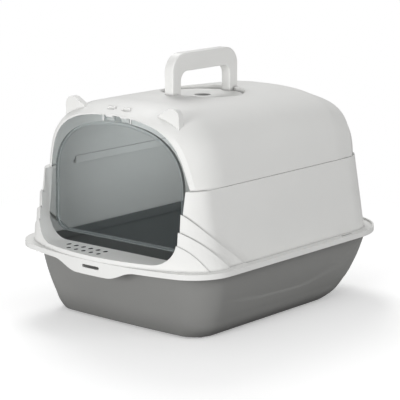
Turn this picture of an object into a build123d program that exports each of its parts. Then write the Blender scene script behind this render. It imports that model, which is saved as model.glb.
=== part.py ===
"""Covered litter box: a tray, a two piece hood with a swing door, a carry handle and a filter in the roof.

The front faces -Y, +X is to the right for someone who faces the entrance, +Z is up.
The origin is on the floor, at the centre of the outline. All sizes are millimetres.
"""

import math
import os

from build123d import *

# Driving dimensions
WALL = 2.4  # moulded wall of the tray and the hood
GAP = 0.4  # air between pieces that lift apart

TRAY_BASE = 3.0  # underside of the tray above the floor
TRAY_RIM_BOTTOM = 104.0
TRAY_RIM_TOP = 107.7
TRAY_STAND_TOP = 114.0  # upstand inside the rim that keeps litter away from the seam
TRAY_FLOOR = 2.6
STAND_WALL = 2.0
STAND_FRONT_RADIUS = 63.0
STAND_REAR_RADIUS = 64.0
TRAY_INSIDE_TOP = 100.0  # above this the inside follows the upstand

FOOT_LENGTH = 31.0
FOOT_WIDTH = 15.0
FOOT_X = 128.0
FOOT_FRONT_Y = -150.0
FOOT_REAR_Y = 100.0

FLANGE_HALF_WIDTH = 197.0
FLANGE_FRONT = -256.0
FLANGE_REAR = 256.0
FLANGE_FRONT_RADIUS = 70.0
FLANGE_REAR_RADIUS = 96.0
FLANGE_BOW = 36.5
LIP_BOTTOM = 105.0
LIP_TOP = 113.0
LIP_WALL = 2.6
SHELF_TOP = 110.4  # floor of the trough beside and behind the hood wall
SHELF_STEP_Y = -117.0  # in front of this the shelf is level with the lip
SIDE_SLOT_LENGTH = 29.0
SIDE_SLOT_WIDTH = 3.0
SIDE_SLOT_X = 182.0
SIDE_SLOT_Y = 137.0

TONGUE_BOTTOM = 91.0
TONGUE_HALF_WIDTH = 84.0
TONGUE_FLAT = 28.0
TONGUE_SLOT_LENGTH = 34.0
TONGUE_SLOT_HEIGHT = 5.0
TONGUE_SLOT_Z = 103.6

SEAM = 227.0  # joint between the lower and the upper hood
RIB_HEIGHT = 6.0  # locating rib above the seam
RIB_WALL = 1.6

TUNNEL_REAR = -200.0  # rear edge at the sill; above the bend it leans back to the seam
TUNNEL_REAR_TOP = -189.0
TUNNEL_WALL = 2.4
TUNNEL_HALF_TOP = 142.2
TUNNEL_HALF_LOW = 140.0
TUNNEL_BEND_Z = 158.0
CHEEK_TOP_REAR = -172.0  # the flat tops of the cheeks end here, under the upper hood
TUNNEL_CORNER = 37.0
SILL_TOP = 119.4
SILL_HOLE_LENGTH = 9.0
SILL_HOLE_WIDTH = 6.6

ROOF_WALL = 2.4
ROOF_END = 228.2  # rear face of the upper hood at the seam
ROOF_PLAN_RADIUS = 66.8
ROOF_SIDE_RADIUS = 86.2
ROOF_REAR_TURNS = (28, 50, 70, 90)  # degrees round the rear end
ROOF_FOOT = 12.0  # how far the arches run below the seam before they are cut

RECESS_RADIUS = 66.5
RECESS_FLOOR_TOP = 329.0
RECESS_FLOOR = 2.4
FILTER_WELL_RADIUS = 50.0
FILTER_WELL_BOTTOM = 316.0

COVER_RADIUS = 64.0
COVER_TOP = 332.0
COVER_THICKNESS = 2.7
COVER_EDGE = 0.8
FINGER_HOLE_RADIUS = 13.3
FILTER_RADIUS = 48.5
GRILLE_TOP = 320.4
GRILLE_PITCH = 9.6
GRILLE_SLOT = 6.0
GRILLE_OPEN_RADIUS = 45.0

HANDLE_FRONT = -80.0
HANDLE_REAR = 76.0
HANDLE_LEG = 20.0
HANDLE_WIDTH = 17.0
HANDLE_TOP = 402.0
HANDLE_UNDER = 374.0
HANDLE_OUTER_RADIUS = 28.0
HANDLE_INNER_RADIUS = 15.0

DOOR_Y = -193.0
DOOR_PIVOT_Z = 322.3
ROD_RADIUS = 2.2
ROD_CLEARANCE = 0.3
DOOR_SHEET = 2.0
DOOR_RIM_WIDTH = 4.0
DOOR_RIM_DEPTH = 5.0
DOOR_BOTTOM = 132.5
DOOR_CORNER = 23.0
DOOR_HALF_WIDTH = 131.0
DOOR_TOP = 311.5
DOOR_TAB_HALF = 26.0
DOOR_TAB_BOTTOM = 306.0
WINDOW_X = 14.5
WINDOW_WIDTH = 17.0
WINDOW_MIDDLE = 316.6
WINDOW_HEIGHT = 7.4
HOOK_X = 14.5
HOOK_WIDTH = 14.0

HINGE_Y = 238.0
HINGE_X = 64.0
HINGE_PIN = 3.0
HINGE_CLEARANCE = 0.1
KNUCKLE_RADIUS = 5.6
KNUCKLE_WIDTH = 14.0
LUG_THICKNESS = 3.6
SEAM_GAP = 0.4

STAND_HALF_WIDTH = 172.4
STAND_FRONT = -218.4
STAND_REAR = 234.6
RIB_INSET = 5.4
RIB_REACH = 125.0
RIB_LEDGE = 5.0  # depth of the ledge below the seam that carries each rib
EAR_REAR = -177.0
EAR_TOP = 341.0
EAR_THICKNESS = 10.0
TENON_WIDTH = 9.0
TENON_LENGTH = 12.0
TENON_DROP = 6.0

# Outline of the tray at rising heights: z, half width, front, rear, front corner, rear corner
TRAY_STATIONS = [
    (TRAY_BASE, 146.4, -186.6, 160.6, 36.0, 54.0),
    (10.0, 153.6, -189.1, 173.7, 39.0, 56.0),
    (30.0, 162.0, -196.3, 199.9, 45.0, 61.0),
    (60.0, 171.1, -207.0, 220.0, 54.0, 64.0),
    (TRAY_RIM_BOTTOM, 177.0, -222.7, 244.0, 67.0, 68.0),
]
TRAY_BOW = 4.0

# Lower hood wall and the three flared cheek steps at its front corners.
# Foot outline, then top outline: half width, front, bow, front corner; the steps stand on each other.
HOOD_REAR = 238.0
HOOD_REAR_TOP = 230.0
HOOD_REAR_RADIUS = 68.0
WALL_FOOT = (176.0, -231.4, 12.0, 62.0)
WALL_TOP = (161.5, -213.9, 6.0, 38.0)
STEP_FOOT = [(180.5, -235.1, 30.0, 60.0), (185.0, -246.2, 42.0, 66.0), (189.5, -254.6, 58.0, 74.0)]
STEP_TOP = [(162.5, -223.1, 7.0, 40.0), (164.0, -226.1, 8.0, 41.0), (165.5, -233.2, 9.0, 42.0)]

# Crease line of each step seen from the side, as points in Y and Z
STEP_LINES = [
    [(-262.0, 236.0), (-217.0, 198.0), (-187.0, 166.0), (-152.0, 138.0), (-112.0, 107.0)],
    [(-262.0, 206.0), (-222.0, 172.0), (-200.0, 153.0), (-168.0, 124.0), (-147.0, 105.0)],
    [(-262.0, 186.0), (-229.0, 156.0), (-210.0, 136.0), (-200.0, 122.0), (-188.0, 105.0)],
]

# Arches of the upper hood, front to rear: y at the seam, half width, crest, forward tilt, side lean
ROOF_FRONT = [
    (-194.0, 143.2, 325.8, 7.1, 14.5),
    (-190.0, 148.6, 327.4, 6.8, 13.2),
    (-181.5, 152.8, 330.5, 6.2, 11.6),
    (-166.0, 158.0, 335.8, 5.0, 9.1),
    (-142.0, 160.0, 339.0, 3.0, 7.8),
    (-90.0, 160.0, 339.5, 0.0, 7.7),
    (30.0, 160.0, 339.3, -0.4, 7.7),
    (142.0, 160.0, 334.1, -5.3, 7.7),
]


def plan_face(z, half_width, front, rear, front_radius, rear_radius, bow):
    """A rounded outline seen from above, with a front edge that bows forward."""
    with BuildSketch(Plane.XY.offset(z)) as plan:
        with BuildLine():
            Polyline(
                (-half_width, front + bow),
                (-half_width, rear),
                (half_width, rear),
                (half_width, front + bow),
            )
            ThreePointArc((half_width, front + bow), (0, front), (-half_width, front + bow))
        make_face()
        fillet(plan.vertices().group_by(Axis.Y)[0], front_radius)
        fillet(plan.vertices().group_by(Axis.Y)[-1], rear_radius)
    return plan.sketch.faces()[0]


def tray_faces(inset, bottom, top):
    """Tray outlines between two heights, moved inward by the inset."""
    faces = []
    heights = [bottom] + [s[0] for s in TRAY_STATIONS[1:-1]] + [top]
    for z, station in zip(heights, TRAY_STATIONS):
        half, front, rear, front_radius, rear_radius = station[1:]
        face = plan_face(
            z, half - inset, front + inset, rear - inset, front_radius - inset, rear_radius - inset, TRAY_BOW
        )
        faces.append(face)
    return faces


def stand_face(z, inset):
    """Outline of the tray's upstand, moved inward by the inset."""
    return plan_face(
        z,
        STAND_HALF_WIDTH - inset,
        STAND_FRONT + inset,
        STAND_REAR - inset,
        STAND_FRONT_RADIUS - inset,
        STAND_REAR_RADIUS - inset,
        TRAY_BOW,
    )


def flange_face(z, inset):
    """Outline of the hood's skirt, moved inward by the inset."""
    return plan_face(
        z,
        FLANGE_HALF_WIDTH - inset,
        FLANGE_FRONT + inset,
        FLANGE_REAR - inset,
        FLANGE_FRONT_RADIUS - inset,
        FLANGE_REAR_RADIUS - inset,
        FLANGE_BOW,
    )


def wall_face(z, foot, top, inset):
    """Outline of the lower hood's wall at a height, between its foot and its top outline."""
    share = (z - LIP_TOP) / (SEAM - LIP_TOP)
    half, front, bow, radius = [a + (b - a) * share for a, b in zip(foot, top)]
    rear = HOOD_REAR + (HOOD_REAR_TOP - HOOD_REAR) * share
    return plan_face(z, half - inset, front + inset, rear - inset, radius - inset, HOOD_REAR_RADIUS - inset, bow)


def arch_face(y, half_width, crest, tilt, lean, inset, foot):
    """An arch on a tilted plane that stands on the seam, with a foot below it."""
    angle = math.radians(tilt)
    plane = Plane(origin=(0, y, SEAM), x_dir=(1, 0, 0), z_dir=(0, -math.cos(angle), -math.sin(angle)))
    top = (crest - SEAM) / math.cos(angle) - inset
    half = half_width - inset
    front_share = min(1.0, (half_width - 143.2) / (160.0 - 143.2)) if y < 0 else 1.0
    rise = top * (0.59 + 0.16 * front_share)
    spread = half * (0.83 + 0.01 * front_share)
    shoulder = half - rise * math.tan(math.radians(lean))
    with BuildSketch(plane) as arch:
        with BuildLine():
            Polyline((-half, 0), (-half, -foot), (half, -foot), (half, 0))
            Bezier((half, 0), (shoulder, rise), (spread, top), (0, top))
            Bezier((0, top), (-spread, top), (-shoulder, rise), (-half, 0))
        make_face()
    return arch.sketch.faces()[0]


def roof_faces(inset, foot, front_shift):
    """All arches of the upper hood, with the rounded rear end."""
    faces = []
    if inset:
        mouth = (ROOF_FRONT[0][0] - 8,) + ROOF_FRONT[0][1:]
        faces.append(arch_face(*mouth, inset, foot))
    for y, half, crest, tilt, lean in ROOF_FRONT:
        faces.append(arch_face(y + front_shift, half, crest, tilt, lean, inset, foot))
    last_y, last_half, last_crest, last_tilt, last_lean = ROOF_FRONT[-1]
    end = ROOF_END - inset
    for turn in ROOF_REAR_TURNS:
        y = last_y + (end - last_y) * math.sin(math.radians(turn))
        side = max(0.0, y - (end - ROOF_PLAN_RADIUS))
        half = last_half - ROOF_PLAN_RADIUS + math.sqrt(max(0.0, ROOF_PLAN_RADIUS**2 - side**2))
        drop = 5.3 * (y / 140.0) ** 2
        back = max(0.0, y - (end - ROOF_SIDE_RADIUS))
        crest = 339.5 - drop - ROOF_SIDE_RADIUS + math.sqrt(max(0.0, ROOF_SIDE_RADIUS**2 - back**2))
        faces.append(arch_face(y, half, crest, last_tilt, last_lean, inset, foot))
    return faces


def entrance_face(plane, grow):
    """The U shape of the entrance, open above the seam, moved outward by grow."""
    low = SILL_TOP - grow
    with BuildSketch(plane) as mouth:
        with BuildLine():
            Polyline(
                (TUNNEL_HALF_TOP + grow, SEAM + 30),
                (TUNNEL_HALF_TOP + grow, SEAM),
                (TUNNEL_HALF_LOW + grow, TUNNEL_BEND_Z),
                (TUNNEL_HALF_LOW + grow, low),
                (-TUNNEL_HALF_LOW - grow, low),
                (-TUNNEL_HALF_LOW - grow, TUNNEL_BEND_Z),
                (-TUNNEL_HALF_TOP - grow, SEAM),
                (-TUNNEL_HALF_TOP - grow, SEAM + 30),
                close=True,
            )
        make_face()
        fillet(mouth.vertices().group_by(Axis.Y)[0], TUNNEL_CORNER + grow)
    return mouth.sketch.faces()[0]


def door_face(y, inset):
    """The door's outline seen from the front: rounded low corners and an arched top."""
    half = DOOR_HALF_WIDTH - inset
    top = DOOR_TOP - inset
    with BuildSketch(Plane.XZ.offset(-y)) as outline:
        with BuildLine():
            right = Bezier((half - 1.4, 225), (half - 2.5, 270), (98 - 0.7 * inset, top), (0, top))
            left = Bezier((0, top), (-98 + 0.7 * inset, top), (-half + 2.5, 270), (-half + 1.4, 225))
            Polyline(left @ 1, (-half, DOOR_BOTTOM + inset), (half, DOOR_BOTTOM + inset), right @ 0)
        make_face()
        fillet(outline.vertices().group_by(Axis.Y)[0], DOOR_CORNER - inset)
    return outline.sketch.faces()[0]


# Litter tray: a tapered tub with a rim that the hood rests on and an upstand that keeps litter in
with BuildPart() as litter_tray:
    loft(sections=tray_faces(0, TRAY_BASE, TRAY_RIM_TOP))
    extrude(flange_face(TRAY_RIM_BOTTOM, LIP_WALL + 2 * GAP), amount=TRAY_RIM_TOP - TRAY_RIM_BOTTOM)
    extrude(
        stand_face(TRAY_RIM_TOP, 0),
        amount=TRAY_STAND_TOP - TRAY_RIM_TOP,
    )
    loft(sections=tray_faces(WALL, TRAY_BASE + TRAY_FLOOR, TRAY_INSIDE_TOP), ruled=True, mode=Mode.SUBTRACT)
    extrude(
        stand_face(TRAY_INSIDE_TOP, STAND_WALL),
        amount=TRAY_STAND_TOP,
        mode=Mode.SUBTRACT,
    )

# Feet: four soft pads under the tray
foot_places = {
    "foot_front_left": (-FOOT_X, FOOT_FRONT_Y),
    "foot_front_right": (FOOT_X, FOOT_FRONT_Y),
    "foot_rear_left": (-FOOT_X, FOOT_REAR_Y),
    "foot_rear_right": (FOOT_X, FOOT_REAR_Y),
}
feet = []
for foot_name, place in foot_places.items():
    with BuildPart() as foot:
        with BuildSketch(Plane.XY):
            with Locations(place):
                SlotOverall(FOOT_LENGTH, FOOT_WIDTH, rotation=90)
        extrude(amount=TRAY_BASE)
        chamfer(foot.edges().group_by(Axis.Z)[0], 0.8)
    foot.part.label = foot_name
    feet.append(foot.part)


def step_part(number, inset):
    """One cheek step of the lower hood: a flared wall kept only below and in front of its crease line."""
    heights = (LIP_TOP - 9, SEAM + 4)
    line = [(y - inset * 0.6, z - inset * 0.7) for y, z in STEP_LINES[number]]
    with BuildPart() as step:
        loft(sections=[wall_face(z, STEP_FOOT[number], STEP_TOP[number], inset) for z in heights])
        with BuildSketch(Plane.YZ):
            with BuildLine():
                Spline(*line)
                Polyline(line[-1], (line[-1][0], 60), (-310, 60), (-310, line[0][1]), line[0])
            make_face()
        extrude(amount=230, both=True, mode=Mode.INTERSECT)
    return step.part


outer_steps = [step_part(number, 0) for number in range(3)]
inner_steps = [step_part(number, WALL) for number in range(3)]

# Outer form of the lower hood above its skirt
with BuildPart() as hood_outside:
    loft(sections=[wall_face(z, WALL_FOOT, WALL_TOP, 0) for z in (LIP_TOP - 4, SEAM)])
    add(outer_steps)
    split(bisect_by=Plane.XY.offset(LIP_TOP - 4), keep=Keep.TOP)
    split(bisect_by=Plane.XY.offset(SEAM), keep=Keep.BOTTOM)

# Room inside the lower hood
with BuildPart() as hood_inside:
    loft(sections=[wall_face(z, WALL_FOOT, WALL_TOP, WALL) for z in (LIP_TOP - 9, SEAM + 4)])
    add(inner_steps)

# Band of the skirt that hangs down as a tongue at the middle of the front, with S shaped shoulders
with BuildPart() as tongue:
    with BuildSketch(Plane.XY.offset(TONGUE_BOTTOM)):
        add(flange_face(TONGUE_BOTTOM, 0))
        add(flange_face(TONGUE_BOTTOM, LIP_WALL), mode=Mode.SUBTRACT)
    extrude(amount=LIP_BOTTOM + 1 - TONGUE_BOTTOM)
    with BuildSketch(Plane.XZ.offset(-FLANGE_FRONT + 2)):
        with BuildLine():
            right = Bezier(
                (TONGUE_HALF_WIDTH, LIP_BOTTOM),
                (TONGUE_HALF_WIDTH - 24, LIP_BOTTOM),
                (TONGUE_FLAT + 24, TONGUE_BOTTOM),
                (TONGUE_FLAT, TONGUE_BOTTOM),
            )
            left = Bezier(
                (-TONGUE_FLAT, TONGUE_BOTTOM),
                (-TONGUE_FLAT - 24, TONGUE_BOTTOM),
                (-TONGUE_HALF_WIDTH + 24, LIP_BOTTOM),
                (-TONGUE_HALF_WIDTH, LIP_BOTTOM),
            )
            Line(right @ 1, left @ 0)
            Polyline(left @ 1, (-TONGUE_HALF_WIDTH, 112), (TONGUE_HALF_WIDTH, 112), right @ 0)
        make_face()
    extrude(amount=-30, mode=Mode.INTERSECT)

# Entrance tunnel: a U shaped wall behind the opening, trimmed to the outer form
with BuildPart() as tunnel:
    extrude(entrance_face(Plane.XZ.offset(-TUNNEL_REAR_TOP), TUNNEL_WALL), amount=80)
    add(hood_outside.part, mode=Mode.INTERSECT)
    with BuildSketch(Plane.YZ):
        with BuildLine():
            Polyline(
                (TUNNEL_REAR, LIP_TOP),
                (TUNNEL_REAR, TUNNEL_BEND_Z),
                (TUNNEL_REAR_TOP, SEAM),
                (TUNNEL_REAR_TOP + 5, SEAM),
                (TUNNEL_REAR_TOP + 5, LIP_TOP),
                close=True,
            )
        make_face()
    extrude(amount=200, both=True, mode=Mode.SUBTRACT)

# Flat tops of the two cheeks, in front of the upper hood
with BuildPart() as cheek_tops:
    with BuildSketch(Plane.XY.offset(SEAM - WALL)):
        add(wall_face(SEAM, WALL_FOOT, WALL_TOP, 0).moved(Location((0, 0, -WALL))))
        Rectangle(2 * TUNNEL_HALF_TOP, 800, mode=Mode.SUBTRACT)
        with Locations((0, CHEEK_TOP_REAR + 250)):
            Rectangle(500, 500, mode=Mode.SUBTRACT)
    extrude(amount=WALL)

# Lower hood: skirt with its trough, wall with cheek steps, entrance tunnel with a perforated sill
with BuildPart() as hood_lower:
    extrude(flange_face(LIP_BOTTOM, 0), amount=LIP_TOP - LIP_BOTTOM)
    extrude(flange_face(LIP_BOTTOM, LIP_WALL), amount=SHELF_TOP - WALL - LIP_BOTTOM, mode=Mode.SUBTRACT)
    with BuildSketch(Plane.XY.offset(SHELF_TOP)):
        add(flange_face(SHELF_TOP, LIP_WALL))
        with Locations((0, SHELF_STEP_Y - 250)):
            Rectangle(500, 500, mode=Mode.SUBTRACT)
    extrude(amount=LIP_TOP - SHELF_TOP, mode=Mode.SUBTRACT)
    with BuildSketch(Plane.XY.offset(LIP_BOTTOM)):
        add(flange_face(LIP_BOTTOM, LIP_WALL))
        with Locations((0, SHELF_STEP_Y - WALL + 250)):
            Rectangle(500, 500, mode=Mode.SUBTRACT)
    extrude(amount=LIP_TOP - WALL - LIP_BOTTOM, mode=Mode.SUBTRACT)
    add(hood_outside.part)
    add(hood_inside.part, mode=Mode.SUBTRACT)
    add(tunnel.part)
    add(cheek_tops.part)
    extrude(entrance_face(Plane.XZ.offset(-TUNNEL_REAR_TOP - 1), 0), amount=80, mode=Mode.SUBTRACT)
    add(tongue.part)
    with BuildSketch(Plane.XZ.offset(-FLANGE_FRONT + 2)):
        with Locations((0, TONGUE_SLOT_Z)):
            SlotOverall(TONGUE_SLOT_LENGTH, TONGUE_SLOT_HEIGHT)
    extrude(amount=-5.2, mode=Mode.SUBTRACT)
    # litter returns through two rows of oval holes in the left half of the sill
    with BuildSketch(Plane.XY.offset(SILL_TOP + 1)):
        with Locations([(-80 + 15.2 * i, -219) for i in range(6)]):
            Ellipse(SILL_HOLE_WIDTH / 2, SILL_HOLE_LENGTH / 2)
        with Locations([(-64 + 15.4 * i, -236) for i in range(5)]):
            Ellipse(SILL_HOLE_WIDTH / 2 - 0.3, SILL_HOLE_LENGTH / 2 - 0.5)
    extrude(amount=-6, mode=Mode.SUBTRACT)
    # one narrow slot in the trough on each side
    with BuildSketch(Plane.XY.offset(SHELF_TOP + 1)):
        with Locations((-SIDE_SLOT_X, SIDE_SLOT_Y), (SIDE_SLOT_X, SIDE_SLOT_Y)):
            SlotOverall(SIDE_SLOT_LENGTH, SIDE_SLOT_WIDTH, rotation=90)
    extrude(amount=-5, mode=Mode.SUBTRACT)
    # locating ribs inside the seam along both sides, each on a small ledge
    rib_drop = Location((0, 0, -RIB_LEDGE))
    for rib_height, rib_outer in ((RIB_LEDGE - GAP, WALL / 2), (RIB_LEDGE + RIB_HEIGHT, RIB_INSET)):
        with BuildSketch(Plane.XY.offset(SEAM - RIB_LEDGE)):
            add(wall_face(SEAM, WALL_FOOT, WALL_TOP, rib_outer).moved(rib_drop))
            add(wall_face(SEAM, WALL_FOOT, WALL_TOP, RIB_INSET + RIB_WALL).moved(rib_drop), mode=Mode.SUBTRACT)
            with Locations((0, -RIB_REACH - 250), (0, RIB_REACH + 250)):
                Rectangle(500, 500, mode=Mode.SUBTRACT)
        extrude(amount=rib_height)
    # two hinge brackets behind the rear wall, each with a pin between two lugs
    with BuildSketch(Plane.YZ.offset(HINGE_X - KNUCKLE_WIDTH / 2 - 0.4 - LUG_THICKNESS)) as lug:
        with BuildLine():
            Polyline(
                (HINGE_Y - 9.5, SEAM - 18),
                (HINGE_Y + KNUCKLE_RADIUS - 2, SEAM - 6),
                (HINGE_Y + KNUCKLE_RADIUS, SEAM),
                (HINGE_Y + KNUCKLE_RADIUS - 2, SEAM + 5),
                (HINGE_Y - 4, SEAM + 5),
                (HINGE_Y - 9.5, SEAM - 1),
                close=True,
            )
        make_face()
    first_lug = extrude(lug.sketch, amount=LUG_THICKNESS)
    second = first_lug.moved(Location((KNUCKLE_WIDTH + 0.8 + LUG_THICKNESS, 0, 0)))
    add(second)
    with BuildSketch(Plane.YZ.offset(HINGE_X - KNUCKLE_WIDTH / 2 - 1)) as pin:
        with Locations((HINGE_Y, SEAM)):
            Circle(HINGE_PIN)
    first_pin = extrude(pin.sketch, amount=KNUCKLE_WIDTH + 2)
    add([piece.mirror(Plane.YZ) for piece in (first_lug, second, first_pin)])

# Room under the upper hood
with BuildPart() as roof_inside:
    loft(sections=roof_faces(ROOF_WALL, ROOF_FOOT, ROOF_WALL / 2), ruled=True)

# Outer form of the upper hood with its two ears
with BuildPart() as roof_outside:
    loft(sections=roof_faces(0, ROOF_FOOT, 0), ruled=True)
    with BuildSketch(Plane.XZ.offset(-EAR_REAR)) as ear:
        with BuildLine():
            Polyline((68, 312), (70, 326), (96, EAR_TOP), (114, EAR_TOP), (114, 300), (90, 300), (68, 312))
        make_face()
        fillet(ear.vertices().group_by(Axis.Y)[-1], 13)
    right_ear = extrude(ear.sketch, amount=EAR_THICKNESS)
    add(right_ear.mirror(Plane.YZ))
    split(bisect_by=Plane.XY.offset(SEAM + SEAM_GAP), keep=Keep.TOP)

# Cup for the filter cover, its well and the two handle sockets, trimmed to the roof
with BuildPart() as cup:
    with BuildSketch(Plane.XY.offset(RECESS_FLOOR_TOP - RECESS_FLOOR)):
        Circle(RECESS_RADIUS + WALL)
        with Locations((0, HANDLE_FRONT + HANDLE_LEG / 2), (0, HANDLE_REAR - HANDLE_LEG / 2)):
            Rectangle(HANDLE_WIDTH + 5, HANDLE_LEG + 5)
    extrude(amount=20)
    add(roof_outside.part, mode=Mode.INTERSECT)

with BuildPart() as hood_upper:
    add(roof_outside.part)
    add(roof_inside.part, mode=Mode.SUBTRACT)
    add(cup.part)
    with BuildSketch(Plane.XY.offset(FILTER_WELL_BOTTOM)):
        Circle(FILTER_WELL_RADIUS + 2)
    extrude(amount=RECESS_FLOOR_TOP - FILTER_WELL_BOTTOM - 1)
    with BuildSketch(Plane.XY.offset(RECESS_FLOOR_TOP)):
        Circle(RECESS_RADIUS)
    extrude(amount=30, mode=Mode.SUBTRACT)
    with BuildSketch(Plane.XY.offset(FILTER_WELL_BOTTOM + 2)):
        Circle(FILTER_WELL_RADIUS)
    extrude(amount=30, mode=Mode.SUBTRACT)
    with BuildSketch(Plane.XY.offset(FILTER_WELL_BOTTOM - 1)):
        Circle(FILTER_WELL_RADIUS - 4)
    extrude(amount=30, mode=Mode.SUBTRACT)
    # sockets for the legs of the handle, and a hole in each for its tenon
    with BuildSketch(Plane.XY.offset(RECESS_FLOOR_TOP)):
        with Locations((0, HANDLE_FRONT + HANDLE_LEG / 2), (0, HANDLE_REAR - HANDLE_LEG / 2)):
            Rectangle(HANDLE_WIDTH + 0.5, HANDLE_LEG + 0.5)
    extrude(amount=30, mode=Mode.SUBTRACT)
    with BuildSketch(Plane.XY.offset(RECESS_FLOOR_TOP - 8)):
        with Locations((0, HANDLE_FRONT + HANDLE_LEG / 2), (0, HANDLE_REAR - HANDLE_LEG / 2)):
            Rectangle(TENON_WIDTH + 0.4, TENON_LENGTH + 0.4)
    extrude(amount=12, mode=Mode.SUBTRACT)
    # two narrow slots in the brow above the hooks
    with BuildSketch(Plane.XY.offset(300)):
        with Locations((-HOOK_X, DOOR_Y), (HOOK_X, DOOR_Y)):
            SlotOverall(15, 2.6)
    extrude(amount=40, mode=Mode.SUBTRACT)
    # two hooks that carry the door's rod
    with BuildSketch(Plane.YZ.offset(HOOK_X - HOOK_WIDTH / 2)) as hook:
        with Locations((DOOR_Y, DOOR_PIVOT_Z)):
            Circle(ROD_RADIUS + ROD_CLEARANCE + 2.2)
            with Locations((-5, 5.5)):
                Rectangle(10, 10, mode=Mode.SUBTRACT)
            with Locations((ROD_RADIUS + ROD_CLEARANCE + 1.1, 6)):
                Rectangle(2.2, 12)
            Circle(ROD_RADIUS + ROD_CLEARANCE, mode=Mode.SUBTRACT)
            with Locations((0, 4)):
                Rectangle(2 * (ROD_RADIUS + ROD_CLEARANCE), 8, mode=Mode.SUBTRACT)
    right_hook = extrude(hook.sketch, amount=HOOK_WIDTH)
    add(right_hook.mirror(Plane.YZ))
    # two clips at the rear that turn on the pins of the lower hood
    with BuildSketch(Plane.YZ.offset(HINGE_X - KNUCKLE_WIDTH / 2)) as knuckle:
        with Locations((HINGE_Y, SEAM)):
            Circle(KNUCKLE_RADIUS)
        with BuildLine():
            Polyline(
                (HINGE_Y, SEAM + 1),
                (HINGE_Y, SEAM + KNUCKLE_RADIUS),
                (HINGE_Y - 11.4, SEAM + KNUCKLE_RADIUS + 7),
                (HINGE_Y - 11.4, SEAM + 1),
                close=True,
            )
        make_face()
        with Locations((HINGE_Y, SEAM)):
            Circle(HINGE_PIN + HINGE_CLEARANCE, mode=Mode.SUBTRACT)
            with Locations((5, 0)):
                Rectangle(10, 2 * HINGE_PIN - 1.4, mode=Mode.SUBTRACT)
    right_knuckle = extrude(knuckle.sketch, amount=KNUCKLE_WIDTH)
    add(right_knuckle.mirror(Plane.YZ))

# Swing door: a clear sheet with a thick rim, hung by a rod above two windows in its tab
with BuildPart() as swing_door:
    extrude(door_face(DOOR_Y + DOOR_RIM_DEPTH / 2, 0), amount=DOOR_RIM_DEPTH)
    pocket_depth = (DOOR_RIM_DEPTH - DOOR_SHEET) / 2
    extrude(door_face(DOOR_Y + DOOR_RIM_DEPTH / 2, DOOR_RIM_WIDTH), amount=pocket_depth, mode=Mode.SUBTRACT)
    extrude(door_face(DOOR_Y - DOOR_SHEET / 2, DOOR_RIM_WIDTH), amount=pocket_depth, mode=Mode.SUBTRACT)
    with BuildSketch(Plane.XZ.offset(-DOOR_Y - DOOR_SHEET / 2)):
        with Locations((0, (DOOR_TAB_BOTTOM + DOOR_PIVOT_Z) / 2)):
            Rectangle(2 * DOOR_TAB_HALF, DOOR_PIVOT_Z - DOOR_TAB_BOTTOM)
        with Locations((-WINDOW_X, WINDOW_MIDDLE), (WINDOW_X, WINDOW_MIDDLE)):
            Rectangle(WINDOW_WIDTH, WINDOW_HEIGHT, mode=Mode.SUBTRACT)
    extrude(amount=DOOR_SHEET)
    with BuildSketch(Plane.YZ.offset(-DOOR_TAB_HALF)):
        with Locations((DOOR_Y, DOOR_PIVOT_Z)):
            Circle(ROD_RADIUS)
    extrude(amount=2 * DOOR_TAB_HALF)

# Carry handle: an upright U whose legs stand in the sockets of the roof
with BuildPart() as carry_handle:
    with BuildSketch(Plane.YZ) as handle_side:
        with BuildLine():
            Polyline(
                (HANDLE_FRONT, RECESS_FLOOR_TOP),
                (HANDLE_FRONT, HANDLE_TOP),
                (HANDLE_REAR, HANDLE_TOP),
                (HANDLE_REAR, RECESS_FLOOR_TOP),
                (HANDLE_REAR - HANDLE_LEG, RECESS_FLOOR_TOP),
                (HANDLE_REAR - HANDLE_LEG, HANDLE_UNDER),
                (HANDLE_FRONT + HANDLE_LEG, HANDLE_UNDER),
                (HANDLE_FRONT + HANDLE_LEG, RECESS_FLOOR_TOP),
                close=True,
            )
        make_face()
        fillet(handle_side.vertices().group_by(Axis.Y)[-2], HANDLE_INNER_RADIUS)
        fillet(handle_side.vertices().group_by(Axis.Y)[-1], HANDLE_OUTER_RADIUS)
    extrude(amount=HANDLE_WIDTH / 2, both=True)
    fillet(carry_handle.edges().filter_by(Plane.YZ).filter_by(lambda e: e.center().Z > RECESS_FLOOR_TOP + 1), 2)
    with BuildSketch(Plane.XY.offset(RECESS_FLOOR_TOP)):
        with Locations((0, HANDLE_FRONT + HANDLE_LEG / 2), (0, HANDLE_REAR - HANDLE_LEG / 2)):
            Rectangle(TENON_WIDTH, TENON_LENGTH)
    extrude(amount=-TENON_DROP)

# Filter cover: a round lid with a finger hole, notched round the legs of the handle
with BuildPart() as filter_cover:
    with BuildSketch(Plane.XY.offset(COVER_TOP - COVER_THICKNESS)):
        Circle(COVER_RADIUS)
        with Locations((0, HANDLE_FRONT + HANDLE_LEG - 19), (0, HANDLE_REAR - HANDLE_LEG + 19)):
            Rectangle(HANDLE_WIDTH + 2, 40, mode=Mode.SUBTRACT)
    extrude(amount=COVER_THICKNESS)
    chamfer(filter_cover.edges().group_by(Axis.Z)[-1], COVER_EDGE)
    with BuildSketch(Plane.XY.offset(COVER_TOP)):
        Circle(FINGER_HOLE_RADIUS)
    extrude(amount=-COVER_THICKNESS, mode=Mode.SUBTRACT)
    hole_rim = filter_cover.edges().filter_by(GeomType.CIRCLE).group_by(Axis.Z)[-1].sort_by(SortBy.RADIUS)[0]
    chamfer(hole_rim, COVER_EDGE)

# Carbon filter: a round pad below the cover
with BuildPart() as carbon_filter:
    with BuildSketch(Plane.XY.offset(GRILLE_TOP + GAP)):
        Circle(FILTER_RADIUS)
    extrude(amount=COVER_TOP - COVER_THICKNESS - GRILLE_TOP - GAP)

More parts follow.
